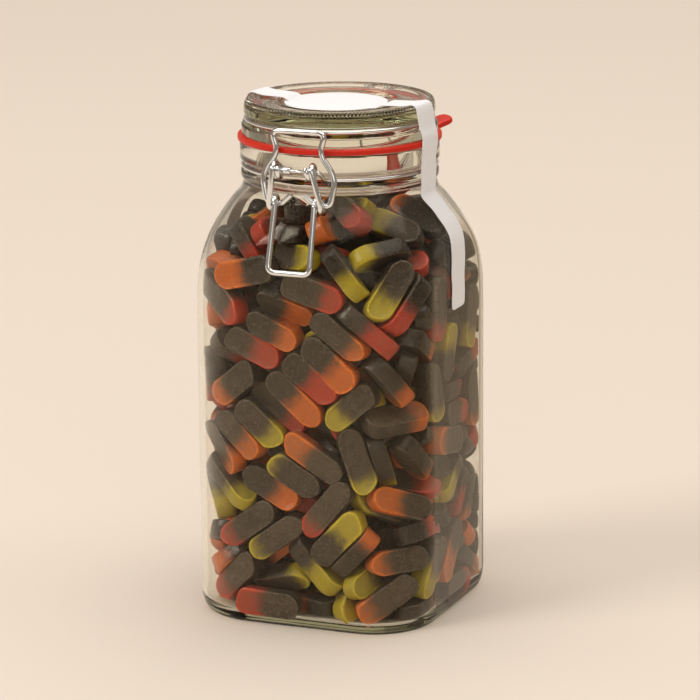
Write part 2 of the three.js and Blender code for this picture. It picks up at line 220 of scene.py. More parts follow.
def glass_material(name, tint, density):
    """Clear glass, faintly olive in its thickness, that lets light through to what it holds."""
    material = bpy.data.materials.new(name)
    material.use_nodes = True
    nodes, links = material.node_tree.nodes, material.node_tree.links
    shader = nodes["Principled BSDF"]
    shader.inputs["Base Color"].default_value = (0.975, 0.96, 0.92, 1)
    shader.inputs["Roughness"].default_value = 0.0
    shader.inputs["IOR"].default_value = 1.5
    shader.inputs["Specular Tint"].default_value = (0.28, 0.24, 0.19, 1)
    shader.inputs["Transmission Weight"].default_value = 1.0
    clear = nodes.new("ShaderNodeBsdfTransparent")
    clear.inputs["Color"].default_value = (0.95, 0.95, 0.93, 1)
    path = nodes.new("ShaderNodeLightPath")
    either = nodes.new("ShaderNodeMath")
    either.operation = "MAXIMUM"
    mix = nodes.new("ShaderNodeMixShader")
    links.new(path.outputs["Is Shadow Ray"], either.inputs[0])
    links.new(path.outputs["Is Diffuse Ray"], either.inputs[1])
    links.new(either.outputs[0], mix.inputs[0])
    links.new(shader.outputs["BSDF"], mix.inputs[1])
    links.new(clear.outputs["BSDF"], mix.inputs[2])
    links.new(mix.outputs["Shader"], nodes["Material Output"].inputs["Surface"])
    absorb = nodes.new("ShaderNodeVolumeAbsorption")
    absorb.inputs["Color"].default_value = tint
    absorb.inputs["Density"].default_value = density
    links.new(absorb.outputs["Volume"], nodes["Material Output"].inputs["Volume"])
    return material


jar_olive, jar_density = (0.64, 0.64, 0.40, 1), 13
jar_finish = glass_material("jar glass", jar_olive, jar_density)
jar_steps = 240
jar_angle = np.arange(jar_steps) / jar_steps * 2 * np.pi
outside = [(5.5, 0), (4.4, 0.25), (3.1, 1.2), (2.1, 2.6), (1.3, 4.4), (0.7, 6.5), (0.3, 9), (0, 14)]
jar_radii = [square_radius(jar_angle, body_half - i, body_corner - i) for i, _ in outside]
jar_heights = [z for _, z in outside]
for z in [40, 70, 100, 125, 142, *np.arange(150, 221, 3.5)]:
    jar_radii.append(body_radius(jar_angle, z))
    jar_heights.append(z)
neck_profile = rounded(
    [(51.4, 220.4), (49.0, 224.4), (50.8, 226.0), (50.8, 229.4), (groove_radius, 230.6),
     (groove_radius, 233.4), (collar_radius, 235), (collar_radius, rim_height),
     (bore_radius, rim_height), (bore_radius, 229), (47.6, 220)], 1.1)[1:-1]
jar_radii += [r for r, _ in neck_profile]
jar_heights += [z for _, z in neck_profile]
for z in [*np.arange(219, 149, -3.5), 125, 100, 70, 40, 16, 12]:
    jar_radii.append(body_radius(jar_angle, z, wall))
    jar_heights.append(z)
for inset, z in [(0.2, 9.6), (0.6, 7.9), (1.3, 6.5), (2.4, 5.4), (3.9, 4.7), (6, floor_height)]:
    jar_radii.append(square_radius(jar_angle, body_half - wall - inset, body_corner - wall - inset))
    jar_heights.append(z)
jar = solid("jar_glass", *skin(turned(jar_radii, jar_heights, jar_steps), (0, 0, 0.6),
                               (0, 0, floor_height)), jar_finish, 50)
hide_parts("jar")
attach(jar, "jar")

# Candies --------------------------------------------------------------------------------------
# Soft moulded lozenges with round ends, flat beneath and bevelled above, one end dark liquorice
# and the other red, orange or yellow. They are poured into the jar and come to rest against it.

candy_long, candy_wide, candy_thick = 34.0, 14.2, 9.2
core_half = 26.0
core_top = 190.0
poured_to = 243.0
candy_count = 440
pour_seed = 5
topping_up = 16
pour_lean, pour_rolls = 42, 1.0
pour_frames, turn_frames, pour_substeps = 64, 40, 8


def settle(starts, gravity, foot_height, frames):
    """Lets candies fall inside the upturned jar, which is closed at foot_height, and returns
    where they lie; starts and result are 4 by 4 poses in centimetres. Once it is turned over, a
    chimney over its mouth guides the last of them in."""
    made = []
    bpy.ops.rigidbody.world_add()
    physics = scene.rigidbody_world
    physics.substeps_per_frame = pour_substeps
    physics.solver_iterations = 10
    physics.point_cache.frame_start = 1
    physics.point_cache.frame_end = frames + 5
    bodies = bpy.data.collections.new("poured")
    physics.collection = bodies
    scene.gravity = (0, 0, gravity)

    def still(name, points, faces):
        mesh = bpy.data.meshes.new(name)
        mesh.from_pydata((np.asarray(points) * 0.1).tolist(), [], faces)
        body = bpy.data.objects.new(name, mesh)
        bodies.objects.link(body)
        scene.collection.objects.link(body)
        body.rigid_body.type = "PASSIVE"
        body.rigid_body.collision_shape = "MESH"
        body.rigid_body.use_margin = True
        body.rigid_body.collision_margin = 0.02
        body.rigid_body.friction = 0.5
        made.append(body)

    steps = 48
    angle = np.arange(steps) / steps * 2 * np.pi
    heights = [poured_to, 238, 230, 222, 214, 205, 195, 185, 175, 165, 155, 30, -900]
    inner = [np.minimum(body_radius(angle, z, wall), bore_radius if z > 219 else 999)
             for z in heights]
    if gravity < 0:
        still("shell", *skin(turned(inner, [poured_to - z for z in heights], steps), (0, 0, 0)))
    else:
        inner, heights = [np.full(steps, bore_radius), *inner], [900, *heights]
        still("shell", *skin(turned(inner, [poured_to - z for z in heights], steps)))
    core_depth = poured_to - core_top
    core_rings = turned(
        [square_radius(angle, core_half - 5, 8), *[square_radius(angle, core_half, 10)] * 2],
        [core_depth, core_depth + 6, 1100], steps)
    still("core", *skin(core_rings, start=(0, 0, core_depth)))
    foot = np.array([(-80, -80, 0), (80, -80, 0), (80, 80, 0), (-80, 80, 0)]) + (0, 0, foot_height)
    still("foot", foot, [(0, 3, 2, 1)])

    hull = bpy.data.meshes.new("hull")
    hull.from_pydata(candy_hull().tolist(), [], [])
    candies = []
    for k, start in enumerate(starts):
        candy = bpy.data.objects.new(f"candy{k}", hull)
        scene.collection.objects.link(candy)
        candy.matrix_world = Matrix(start.tolist())
        bodies.objects.link(candy)
        body = candy.rigid_body
        body.type = "ACTIVE"
        body.collision_shape = "CONVEX_HULL"
        body.use_margin = True
        body.collision_margin = 0.01
        body.mass = 5
        body.friction = 0.4
        body.restitution = 0.05
        body.linear_damping = 0.8
        body.angular_damping = 0.95
        candies.append(candy)
    for frame_number in range(1, frames + 1):
        if gravity < 0:
            lean = math.radians(pour_lean) * min(1, (frames - frame_number) / 12)
            roll = 2 * math.pi * pour_rolls * frame_number / frames
            down = Vector((math.sin(lean) * math.cos(roll), math.sin(lean) * math.sin(roll),
                           -math.cos(lean)))
            scene.gravity = down * -gravity
        scene.frame_set(frame_number)
    depsgraph = bpy.context.evaluated_depsgraph_get()
    poses = np.array([np.array(c.evaluated_get(depsgraph).matrix_world) for c in candies])
    bpy.ops.rigidbody.world_remove()
    for body in [*made, *candies]:
        bpy.data.objects.remove(body)
    bpy.data.collections.remove(bodies)
    scene.frame_set(1)
    return poses


def candy_hull():
    """The candy's plain outline in centimetres, for the pour."""
    corners = []
    for level, z in ((0.9, -0.5), (1.0, -0.28), (1.0, 0.17), (0.8, 0.5)):
        for a in np.arange(12) / 12 * 2 * np.pi + 0.01:
            x = (math.copysign(candy_long - candy_wide, math.cos(a))
                 + candy_wide * level * math.cos(a))
            corners.append((x / 20, candy_wide * level * math.sin(a) / 20, z * candy_thick / 10))
    return np.array(corners)


def pour_candies():
    """Where each candy comes to rest, as 4 by 4 poses in millimetres. The jar is filled upside
    down through its open foot, round a smooth core, closed, and then turned over."""
    rng = np.random.default_rng(pour_seed)
    starts = []
    around, apart, half_way = 14, 31.0, 17.5
    for k in range(candy_count):
        layer, slot = divmod(k, around)
        turn = 2 * np.pi * slot / around + 2.4 * layer
        reach = float(square_radius(turn, body_half - wall - half_way, 13.5))
        facing = (Quaternion((0, 0, 1), turn + math.pi / 2)
                  @ Quaternion((0, 1, 0), math.pi / 2 + rng.uniform(-0.2, 0.2))
                  @ Quaternion((1, 0, 0), rng.uniform(0, 2 * np.pi)))
        place = (reach * math.cos(turn) / 10, reach * math.sin(turn) / 10, 4.5 + layer * apart / 10)
        starts.append(np.array(Matrix.Translation(place) @ facing.to_matrix().to_4x4()))
    poured = settle(starts, -98, 1600, pour_frames)
    foot_height = poured_to - floor_height
    hull = candy_hull()
    hull = np.column_stack([hull, np.ones(len(hull))])
    reached = (poured @ hull.T)[:, :3]
    fits = (reached[:, 2].max(1) < foot_height / 10) & (abs(reached[:, :2]).max((1, 2)) < 6.5)
    last = []
    for k in range(topping_up):
        turn, reach = rng.uniform(0, 2 * np.pi), 2.6 * math.sqrt(rng.uniform())
        facing = Euler((rng.uniform(0, 2 * np.pi), rng.uniform(-0.4, 0.4), turn + math.pi / 2))
        place = (reach * math.cos(turn), reach * math.sin(turn), -1.5 - 1.5 * k)
        last.append(np.array(Matrix.Translation(place) @ facing.to_matrix().to_4x4()))
    rested = settle(np.concatenate([poured[fits], last]), 98, foot_height, turn_frames)
    turned_over = np.diag([10.0, -10.0, -10.0, 1.0])
    turned_over[2, 3] = poured_to
    return turned_over @ rested @ np.diag([0.1, 0.1, 0.1, 1.0])


def candy_shape(rng):
    """One candy as made: its points, faces, place along and across, and side, rim or face."""
    # each ring's share of the outline, its height, and how far it counts as face
    levels = [(0.62, -0.49, 1), (0.91, -0.5, 0.5), (0.97, -0.47, 0.4), (1.0, -0.4, 0),
              (0.995, -0.2, 0), (0.965, 0.1, 0), (0.925, 0.36, 0), (0.90, 0.44, 0.3),
              (0.86, 0.49, 0.5), (0.81, 0.5, 0.55), (0.76, 0.485, 0.8), (0.71, 0.455, 1),
              (0.45, 0.44, 1)]
    steps = 24
    angle = (np.arange(steps) + 0.5) / steps * 2 * np.pi
    long = candy_long * rng.uniform(0.89, 1.06)
    wide = candy_wide * rng.uniform(0.92, 1.05)
    thick = candy_thick * rng.uniform(0.9, 1.06)
    points = []
    for level, z, _ in levels:
        x = np.sign(np.cos(angle)) * (long - wide) / 2 + wide / 2 * level * np.cos(angle)
        y = wide / 2 * level * np.sin(angle)
        points.append(np.stack([x, y, np.full(steps, z * thick)], -1))
    points = np.array(points)
    waves = rng.uniform(0, 2 * np.pi, 4)
    swell = 1 + 0.03 * np.sin(2 * angle + waves[0]) + 0.02 * np.sin(3 * angle + waves[1])
    points[:, :, :2] *= swell[None, :, None]
    points = points.reshape(-1, 3)
    facts = np.zeros((len(points), 4))
    facts[:, 0] = points[:, 0] / candy_long + 0.5
    facts[:, 1] = points[:, 1] / candy_wide + 0.5
    facts[:, 3] = np.repeat([part for _, _, part in levels], steps)
    bow = rng.normal(0, 0.0022)
    points[:, 2] += bow * points[:, 0] ** 2 + 0.2 * np.sin(points[:, 0] / 6 + waves[2])
    points[:, 1] += rng.normal(0, 0.0015) * points[:, 0] ** 2
    twist = rng.normal(0, 0.0035) * points[:, 0]
    y, z = points[:, 1].copy(), points[:, 2].copy()
    points[:, 1], points[:, 2] = y - twist * z, z + twist * y
    faces = []
    for row in range(len(levels) - 1):
        for i in range(steps):
            a, b = row * steps + i, row * steps + (i + 1) % steps
            faces.append((a, b, b + steps, a + steps))
    for i in range(steps // 2 - 1):
        a, b, c, d = i, i + 1, steps - 2 - i, steps - 1 - i
        faces.append((d, c, b, a))
        top = (len(levels) - 1) * steps
        faces.append((top + a, top + b, top + c, top + d))
    return points, faces, facts


def candy_material(name, clean, dusty, bright):
    """Soft gelatine with a bloom on its faces; the coloured end runs softly into the liquorice."""
    material = bpy.data.materials.new(name)
    material.use_nodes = True
    nodes, links = material.node_tree.nodes, material.node_tree.links
    shader = nodes["Principled BSDF"]

    def node(kind, **settings):
        made = nodes.new(kind)
        for key, value in settings.items():
            setattr(made, key, value)
        return made

    def maths(operation, a, b=0):
        made = node("ShaderNodeMath", operation=operation)
        for socket, value in zip(made.inputs, (a, b)):
            if isinstance(value, bpy.types.NodeSocket):
                links.new(value, socket)
            else:
                socket.default_value = value
        return made.outputs[0]

    def mixed(share, a, b):
        made = node("ShaderNodeMix", data_type="RGBA")
        for index, value in ((0, share), (6, a), (7, b)):
            if isinstance(value, bpy.types.NodeSocket):
                links.new(value, made.inputs[index])
            else:
                made.inputs[index].default_value = value
        return made.outputs[2]

    def ramp(value, low, high):
        made = node("ShaderNodeMapRange", interpolation_type="SMOOTHSTEP")
        links.new(value, made.inputs["Value"])
        made.inputs["From Min"].default_value = low
        made.inputs["From Max"].default_value = high
        return made.outputs["Result"]

    along = node("ShaderNodeSeparateXYZ")
    links.new(node("ShaderNodeUVMap", uv_map="along").outputs[0], along.inputs[0])
    kind = node("ShaderNodeSeparateXYZ")
    links.new(node("ShaderNodeUVMap", uv_map="kind").outputs[0], kind.inputs[0])
    place = node("ShaderNodeTexCoord").outputs["Object"]
    fine = node("ShaderNodeTexNoise")
    fine.inputs["Scale"].default_value = 800
    fine.inputs["Detail"].default_value = 4
    links.new(place, fine.inputs["Vector"])
    broad = node("ShaderNodeTexNoise")
    broad.inputs["Scale"].default_value = 240
    broad.inputs["Detail"].default_value = 3
    links.new(place, broad.inputs["Vector"])

    face = ramp(kind.outputs[1], 0.5, 1)
    off_rim = maths("ABSOLUTE", maths("SUBTRACT", kind.outputs[1], 0.5))
    # Painted highlight: the bevelled rims are painted in the brighter colour, standing in for the
    # shine and the glow of light along the edges.
    rim = maths("MULTIPLY", ramp(off_rim, 0.3, 0.0), ramp(fine.outputs[0], 0.3, 0.6))
    wander = maths("MULTIPLY", maths("SUBTRACT", broad.outputs[0], 0.5), 0.22)
    speckle = maths("MULTIPLY", maths("SUBTRACT", fine.outputs[0], 0.5), 0.16)
    own_border = maths("FRACT", maths("MULTIPLY", kind.outputs[0], 7))
    border = maths("MULTIPLY", maths("SUBTRACT", own_border, 0.5), 0.34)
    border = maths("ADD", border, maths("MULTIPLY", face, 0.06))
    spread = maths("ADD", maths("ADD", wander, speckle), border)
    dark_share = ramp(maths("ADD", along.outputs[0], spread), 0.22, 0.52)
    mottle = maths("ADD", broad.outputs[0], maths("MULTIPLY", fine.outputs[0], 0.9))
    patch = ramp(mottle, 0.60, 1.30)
    bloom = maths("ADD", maths("MULTIPLY", face, 0.35), maths("MULTIPLY", patch, 0.5))
    bloom = maths("ADD", bloom, 0.1)
    height = node("ShaderNodeSeparateXYZ")
    links.new(place, height.inputs[0])
    # Painted shade: towards the top of the jar the dusting, and with it the bloom, is cut back, so
    # candies under the shoulder come out darker, and glossier through the roughness.
    painted_shade_high_up = maths("SUBTRACT", 1, maths("MULTIPLY", ramp(height.outputs[2], 0.13, 0.21), 0.45))
    own_dusting = maths("ADD", maths("MULTIPLY", kind.outputs[0], 0.75), 0.5)
    dusting = maths("MULTIPLY", own_dusting, painted_shade_high_up)
    bloom = maths("MULTIPLY", bloom, dusting)
    # Painted glints: fine flecks, mostly on the faces, are painted in the brighter colour where the
    # surface would catch small sparkles of light.
    painted_glints = maths("MULTIPLY", ramp(fine.outputs[0], 0.56, 0.7),
                  maths("ADD", maths("MULTIPLY", face, 0.25), 0.1))
    # The coloured end takes its painted rim highlight and its painted glints from the brighter
    # colour.
    colour = mixed(maths("MULTIPLY", rim, 0.7), mixed(bloom, clean, dusty), bright)
    colour = mixed(painted_glints, colour, bright)
    liquorice = mixed(bloom, (0.015, 0.010, 0.006, 1), (0.114, 0.079, 0.048, 1))
    # The liquorice's painted rim highlight and painted glints, in lighter browns.
    liquorice = mixed(maths("MULTIPLY", rim, 0.55), liquorice, (0.20, 0.15, 0.10, 1))
    liquorice = mixed(painted_glints, liquorice, (0.25, 0.19, 0.13, 1))
    links.new(mixed(dark_share, colour, liquorice), shader.inputs["Base Color"])
    links.new(maths("ADD", maths("MULTIPLY", bloom, 0.3), 0.24), shader.inputs["Roughness"])
    shader.inputs["Specular IOR Level"].default_value = 0.4
    shader.inputs["Sheen Weight"].default_value = 0.05
    shader.inputs["Sheen Roughness"].default_value = 0.5
    shader.inputs["Subsurface Weight"].default_value = 0.12
    shader.inputs["Subsurface Radius"].default_value = (1.0, 0.35, 0.12)
    shader.inputs["Subsurface Scale"].default_value = 0.002
    bump = node("ShaderNodeBump")
    bump.inputs["Strength"].default_value = 0.55
    bump.inputs["Distance"].default_value = 0.001
    relief = maths("ADD", broad.outputs[0], maths("MULTIPLY", fine.outputs[0], 0.35))
    links.new(relief, bump.inputs["Height"])
    links.new(bump.outputs[0], shader.inputs["Normal"])
    return material


# Each kind: its share low and high in the jar, its clean and its dusty colour, and a brighter
# colour for the painted highlights on its rims and its painted glints.
candy_kinds = {
    "red": (0.22, 0.50, (0.46, 0.032, 0.012, 1), (0.33, 0.085, 0.046, 1), (0.72, 0.075, 0.028, 1)),
    "orange": (0.50, 0.30, (0.62, 0.125, 0.010, 1), (0.44, 0.140, 0.048, 1),
               (0.90, 0.250, 0.035, 1)),
    "yellow": (0.28, 0.20, (0.46, 0.35, 0.010, 1), (0.37, 0.29, 0.060, 1), (0.76, 0.60, 0.045, 1)),
}


def build_candies():
    """The poured candies as one joined mesh for each colour, pressed flat where they meet glass."""
    rng = np.random.default_rng(pour_seed + 1)
    rest = pour_candies()
    gathered = {name: ([], [], [], 0) for name in candy_kinds}
    names = list(candy_kinds)
    shares = np.array([candy_kinds[name][:2] for name in names])
    for pose in rest:
        level = np.clip(pose[2, 3] / 220, 0, 1)
        name = names[rng.choice(len(names), p=shares @ (1 - level, level))]
        points, faces, facts = candy_shape(rng)
        facts[:, 2] = rng.uniform()
        if pose[2, 3] > poured_to - 2 or pose[2, 3] < 0:
            continue
        points = points @ pose[:3, :3].T + pose[:3, 3]
        angle = np.arctan2(points[:, 1], points[:, 0])
        radius = np.hypot(points[:, 0], points[:, 1])
        limit = body_radius(angle, points[:, 2], wall) - 0.05
        limit = np.where(points[:, 2] > 219, np.minimum(limit, bore_radius), limit)
        pressed = np.minimum(radius, limit) / np.maximum(radius, 1e-6)
        points[:, :2] *= pressed[:, None]
        points[:, 2] = np.maximum(points[:, 2], floor_height + 0.1)
        all_points, all_faces, all_facts, count = gathered[name]
        all_points.append(points)
        all_faces += [tuple(count + i for i in face) for face in faces]
        all_facts.append(facts)
        gathered[name] = (all_points, all_faces, all_facts, count + len(points))
    pieces = []
    for name, (points, faces, facts, _) in gathered.items():
        finish = candy_material(f"{name} candy", *candy_kinds[name][2:])
        piece = solid(f"candies_{name}", np.concatenate(points), faces, finish, 60)
        facts = np.concatenate(facts)
        mesh = piece.data
        corner = np.zeros(len(mesh.loops), int)
        mesh.loops.foreach_get("vertex_index", corner)
        for layer, columns in (("along", (0, 1)), ("kind", (2, 3))):
            uv = mesh.uv_layers.new(name=layer)
            uv.data.foreach_set("uv", facts[corner][:, columns].ravel())
        pieces.append(piece)
    return pieces


candy_pieces = build_candies()
core_angle = np.arange(32) / 32 * 2 * np.pi
core_rings = turned(
    [square_radius(core_angle, core_half - 4, 8), *[square_radius(core_angle, core_half, 10)] * 2,
     square_radius(core_angle, core_half - 5, 8)], [8, 12, 184, 190], 32)
core_paint = bpy.data.materials.new("candy shade")
core_paint.use_nodes = True
core_shader = core_paint.node_tree.nodes["Principled BSDF"]
core_shader.inputs["Base Color"].default_value = (0.03, 0.02, 0.015, 1)
core_shader.inputs["Roughness"].default_value = 0.8
core = solid("candy_core", *skin(core_rings, (0, 0, 8), (0, 0, 190)), core_paint, 50)
for piece in [*candy_pieces, core]:
    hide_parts("candies")
    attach(piece, "jar")

# Lid ------------------------------------------------------------------------------------------
# A pressed glass disc with rings on top, a knurled edge, a groove for the lid wire, a flange that
# rests on the gasket and a collar that reaches into the mouth.

lid_steps = 1248
knurls = 156
lid_angle = np.arange(lid_steps) / lid_steps * 2 * np.pi
notch = np.clip(0.5 - 0.9 * np.cos(knurls * lid_angle), 0, 1)
under = rounded(
    [(0, 257.4), (35, 257.2), (37.7, 254.5), (38.8, 245.5), (41.4, 245.3), (41.4, 247.8),
     (50.3, 247.8), (50.3, 253.0), (46.6, 254.6), (46.6, 257.0), (49.1, 258.6), (49.0, 262.4),
     (48.5, 263.6)], 0.9)[1:]
over = rounded(
    [(45.6, 265.5), (44.2, 264.6), (42.4, 264.9), (41.0, 264.0), (33.5, 263.8), (32.2, 264.4),
     (30.9, 263.9), (29.6, 262.5), (0, 262.5)], 0.7)[:-1]
lid_radii = [r for r, _ in under]
lid_heights = [z for _, z in under]
for r, z, depth in [(48.5, 264.0, 0.5), (47.9, 265.0, 1.7), (47.2, 265.4, 1.6), (46.5, 265.6, 0)]:
    lid_radii.append(r - depth * notch * 0.8)
    lid_heights.append(z - depth * notch * 0.8)
lid_radii += [r for r, _ in over]
lid_heights += [z for _, z in over]
lid_olive, lid_density = (0.62, 0.63, 0.36, 1), 22
lid_finish = glass_material("lid glass", lid_olive, lid_density)
lid = solid("lid_glass", *skin(turned(lid_radii, lid_heights, lid_steps), (0, 0, 257.4),
                               (0, 0, 262.5)), lid_finish, 50)
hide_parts("lid")
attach(lid, "lid")

# Gasket ---------------------------------------------------------------------------------------
# A flat ring of red rubber between jar and lid with a short tab to pull it by.

gasket_low, gasket_high = 244.8, 247.4
rubber = bpy.data.materials.new("red rubber")
rubber.use_nodes = True
rubber_shader = rubber.node_tree.nodes["Principled BSDF"]
rubber_shader.inputs["Base Color"].default_value = (0.66, 0.020, 0.006, 1)
rubber_shader.inputs["Roughness"].default_value = 0.42
rubber_shader.inputs["Specular IOR Level"].default_value = 0.3
rubber_shader.inputs["Subsurface Weight"].default_value = 0.1
rubber_shader.inputs["Subsurface Radius"].default_value = (1.0, 0.2, 0.1)
rubber_shader.inputs["Subsurface Scale"].default_value = 0.002
hoop_rings = turned(*zip(*rounded(
    [(42.3, 246.1), (42.3, gasket_high), (52.3, gasket_high), (52.3, gasket_low),
     (42.3, gasket_low), (42.3, 246.1)], 0.5)), 128)[::-1]
hoop_points, hoop_faces = skin(hoop_rings)
edge = [(-1, -8.4), (0.5, -7.6), (2.2, -6.4), (4.6, -5.6)]
edge += [(7.2 + 5.8 * math.cos(a) ** 0.6, 5.6 * np.sign(a) * abs(math.sin(a)) ** 0.85)
         for a in np.linspace(-1.45, 1.45, 17)]
edge += [(x, -y) for x, y in edge[3::-1]]
edge = np.array(edge)
tab_rows = []
for shrink, z in [(0.5, 0), (0, 0.5), (0, 2.1), (0.5, 2.6)]:
    inner_edge = np.array([4.0, 0]) + (edge - [4.0, 0]) * (1 - shrink / 7)
    tab_rows.append(np.column_stack([inner_edge, np.full(len(edge), z)]))
tab_points, tab_faces = skin(np.array(tab_rows), (4.0, 0, 0), (4.0, 0, 2.6))
roll, tilt, turn = math.radians(5), math.radians(-17), math.radians(47)
tab_points = tab_points @ np.array(Matrix.Rotation(roll, 3, "X")).T
tab_points = tab_points @ np.array(Matrix.Rotation(tilt, 3, "Y")).T + (50.9, 0, gasket_low)
tab_points = tab_points @ np.array(Matrix.Rotation(turn, 3, "Z")).T
gasket = solid("rubber_gasket", np.concatenate([hoop_points, tab_points]),
               hoop_faces + [tuple(i + len(hoop_points) for i in f) for f in tab_faces], rubber, 60)
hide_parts("gasket")
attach(gasket, "jar")

# Wires ----------------------------------------------------------------------------------------
# Bright drawn wire: a ring in the neck's groove whose ends make the lever's bar in a crimped
# sleeve, a ring round the lid with two curls for the hinge, the bail over the lid's edge and the
# long lever that pulls it.

ring_wire, clip_wire = 1.0, 1.5
pivot_y, pivot_z = -55.5, 237.0
hub_y, hub_z = -57.5, 220.8
hinge_y, hinge_z = 58.0, 249.0


def wire_tree():
    """Nodes that draw a round wire along lines of edges, flattened and spread by "crimp"."""
    tree = bpy.data.node_groups.new("Drawn wire", "GeometryNodeTree")
    for name, kind in [("Lines", "Geometry"), ("Radius", "Float"), ("Sides", "Int"),
                       ("Steel", "Material")]:
        tree.interface.new_socket(name, in_out="INPUT", socket_type="NodeSocket" + kind)
    tree.interface.new_socket("Wire", in_out="OUTPUT", socket_type="NodeSocketGeometry")
    links = tree.links

    def node(kind, **values):
        new = tree.nodes.new(kind)
        for name, value in values.items():
            setattr(new, name, value)
        return new

    given, made = node("NodeGroupInput"), node("NodeGroupOutput")
    lines = node("GeometryNodeMeshToCurve")
    place = node("GeometryNodeInputPosition")
    keep = node("GeometryNodeStoreNamedAttribute", data_type="FLOAT_VECTOR", domain="POINT")
    keep.inputs["Name"].default_value = "middle"
    circle = node("GeometryNodeCurvePrimitiveCircle")
    sweep = node("GeometryNodeCurveToMesh")
    sweep.inputs["Fill Caps"].default_value = True
    middle = node("GeometryNodeInputNamedAttribute", data_type="FLOAT_VECTOR")
    middle.inputs["Name"].default_value = "middle"
    crimp = node("GeometryNodeInputNamedAttribute", data_type="FLOAT")
    crimp.inputs["Name"].default_value = "crimp"
    out = node("ShaderNodeVectorMath", operation="SUBTRACT")
    spread = node("ShaderNodeVectorMath", operation="SCALE")
    spread.inputs[0].default_value = (0, 0.5, -0.45)
    offset = node("ShaderNodeVectorMath", operation="MULTIPLY")
    press = node("GeometryNodeSetPosition")
    realize = node("GeometryNodeRealizeInstances")
    coat = node("GeometryNodeSetMaterial")
    links.new(given.outputs["Lines"], lines.inputs["Mesh"])
    links.new(lines.outputs["Curve"], keep.inputs["Geometry"])
    links.new(place.outputs["Position"], keep.inputs["Value"])
    links.new(keep.outputs["Geometry"], sweep.inputs["Curve"])
    links.new(given.outputs["Sides"], circle.inputs["Resolution"])
    links.new(given.outputs["Radius"], circle.inputs["Radius"])
    links.new(circle.outputs["Curve"], sweep.inputs["Profile Curve"])
    links.new(place.outputs["Position"], out.inputs[0])
    links.new(middle.outputs["Attribute"], out.inputs[1])
    links.new(crimp.outputs["Attribute"], spread.inputs["Scale"])
    links.new(out.outputs["Vector"], offset.inputs[0])
    links.new(spread.outputs["Vector"], offset.inputs[1])
    links.new(sweep.outputs["Mesh"], press.inputs["Geometry"])
    links.new(offset.outputs["Vector"], press.inputs["Offset"])
    links.new(press.outputs["Geometry"], realize.inputs["Geometry"])
    links.new(realize.outputs["Geometry"], coat.inputs["Geometry"])
    links.new(given.outputs["Steel"], coat.inputs["Material"])
    links.new(coat.outputs["Geometry"], made.inputs["Wire"])
    return tree


drawn_wire = wire_tree()


def wire(name, paths, radius, steel, sides=16, squash=None):
    """A wire along each path; a path whose ends meet is a closed ring."""
    points, edges, crimps = [], [], []
    for path in paths:
        path = np.array(path, float)
        path = path[[0] + [i for i in range(1, len(path))
                           if np.linalg.norm(path[i] - path[i - 1]) > 1e-4]]
        closed = np.linalg.norm(path[0] - path[-1]) < 1e-4
        path = path[:-1] if closed else path
        first = len(points)
        points += path.tolist()
        edges += [(i, i + 1) for i in range(first, len(points) - 1)]
        if closed:
            edges.append((len(points) - 1, first))
        crimps += [squash(p) if squash else 0.0 for p in path]
    mesh = bpy.data.meshes.new(name)
    mesh.from_pydata((np.array(points) * 0.001).tolist(), edges, [])
    mesh.attributes.new("crimp", "FLOAT", "POINT").data.foreach_set("value", crimps)
    piece = bpy.data.objects.new(name, mesh)
    scene.collection.objects.link(piece)
    draw = piece.modifiers.new("Drawn wire", "NODES")
    draw.node_group = drawn_wire
    sizes = {"Radius": radius * 0.001, "Sides": sides, "Steel": steel}
    for socket in drawn_wire.interface.items_tree:
        if socket.in_out == "INPUT" and socket.name in sizes:
            draw[socket.identifier] = sizes[socket.name]
    drawn = piece.evaluated_get(bpy.context.evaluated_depsgraph_get())
    piece_mesh = bpy.data.meshes.new_from_object(drawn)
    piece.modifiers.remove(draw)
    piece.data = piece_mesh
    for name in ("middle", "crimp"):
        piece_mesh.attributes.remove(piece_mesh.attributes[name])
    piece_mesh.shade_smooth()
    piece_mesh.set_sharp_from_angle(angle=math.radians(60))
    return piece


def bent(corners, bend_steps=8):
    """Corners (x, y, z, bend radius) joined by straights; each bend is a short curve."""
    at = [np.array(c[:3], float) for c in corners]
    points = [at[0]]
    for i in range(1, len(at) - 1):
        back, on = at[i - 1] - at[i], at[i + 1] - at[i]
        back_long, on_long = np.linalg.norm(back), np.linalg.norm(on)
        half = math.acos(np.clip(back @ on / back_long / on_long, -1, 1)) / 2
        reach = min(corners[i][3] / math.tan(half), 0.48 * back_long, 0.48 * on_long)
        start, stop = at[i] + back / back_long * reach, at[i] + on / on_long * reach
        for t in np.linspace(0, 1, bend_steps + 1):
            points.append((1 - t) ** 2 * start + 2 * t * (1 - t) * at[i] + t**2 * stop)
    return [*points, at[-1]]


def coil(bar_y, bar_z, radius, from_x, to_x, from_degrees, to_degrees):
    """Wire wound round a bar along X: 0 degrees is in front of it, 90 above, 180 behind."""
    steps = round(abs(to_degrees - from_degrees) / 12)
    out = []
    for i in range(steps + 1):
        share = i / steps
        angle = math.radians(from_degrees + share * (to_degrees - from_degrees))
        out.append((from_x + share * (to_x - from_x), bar_y - radius * math.cos(angle),
                    bar_z + radius * math.sin(angle)))
    return out


def mirrored(points):
    return [(-p[0], p[1], p[2]) for p in points][::-1]


def leaned(points, x, z, slope):
    """The points moved along X, and above z leant over by slope as well."""
    points = np.array(points)
    points[:, 0] += x - slope * np.maximum(points[:, 2] - z, 0)
    return points


def steel_material(name, roughness):
    material = bpy.data.materials.new(name)
    material.use_nodes = True
    shader = material.node_tree.nodes["Principled BSDF"]
    shader.inputs["Base Color"].default_value = (0.82, 0.83, 0.83, 1)
    shader.inputs["Metallic"].default_value = 1
    shader.inputs["Roughness"].default_value = roughness
    return material


ring_steel = steel_material("ring steel", 0.14)
clip_steel = steel_material("clip steel", 0.11)

